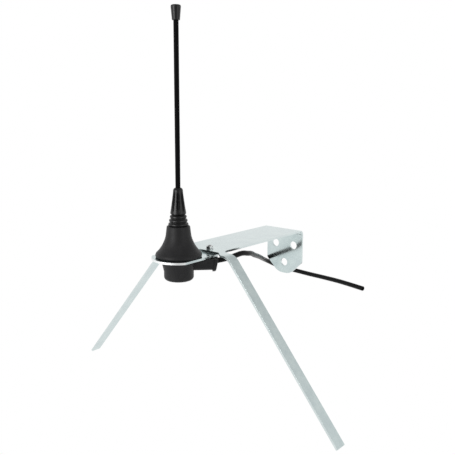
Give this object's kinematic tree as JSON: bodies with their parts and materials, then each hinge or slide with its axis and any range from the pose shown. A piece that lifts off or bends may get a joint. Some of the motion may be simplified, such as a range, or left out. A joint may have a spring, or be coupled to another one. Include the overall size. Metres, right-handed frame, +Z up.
{
  "type": "radio module antenna",
  "caption": "Black quarter-wave whip on a bell-shaped base, on a zinc-plated wall bracket with bent-down ground-plane arms and a cable from the hub",
  "frame": {"origin": "centre of the three wall holes on the bracket's wall face", "axes": "+Y into the wall, +Z up along the whip"},
  "size_m": [0.256, 0.1837, 0.2854],
  "materials": {
    "zinc_sheet": "zinc-plated, satin",
    "black_moulding": "satin",
    "black_rubber": "matt",
    "black_sleeve": "satin",
    "cable_jacket": "satin",
    "bright_steel": "bright",
    "brass_metal": "plain turned",
    "white_insulation": "plain"
  },
  "bodies": {
    "root": {"bracket": "zinc_sheet", "base_bell": "black_moulding", "base_seal": "black_rubber", "whip_boot": "black_rubber", "whip_core": "bright_steel", "whip_sleeve": "black_sleeve", "tip_cap": "black_rubber", "whip_ferrule": "brass_metal", "mounting_bush": "brass_metal", "feed_insulator": "white_insulation", "feed_pin": "brass_metal", "lock_washer": "bright_steel", "earth_tag": "brass_metal", "clamp_nut": "bright_steel", "hub_cover": "black_moulding", "cable_tail": "cable_jacket", "tail_core": "white_insulation", "tail_wire": "brass_metal", "earth_screw": "bright_steel", "earth_washer": "bright_steel", "earth_nut": "bright_steel", "cable": "cable_jacket"}
  },
  "joints": []
}
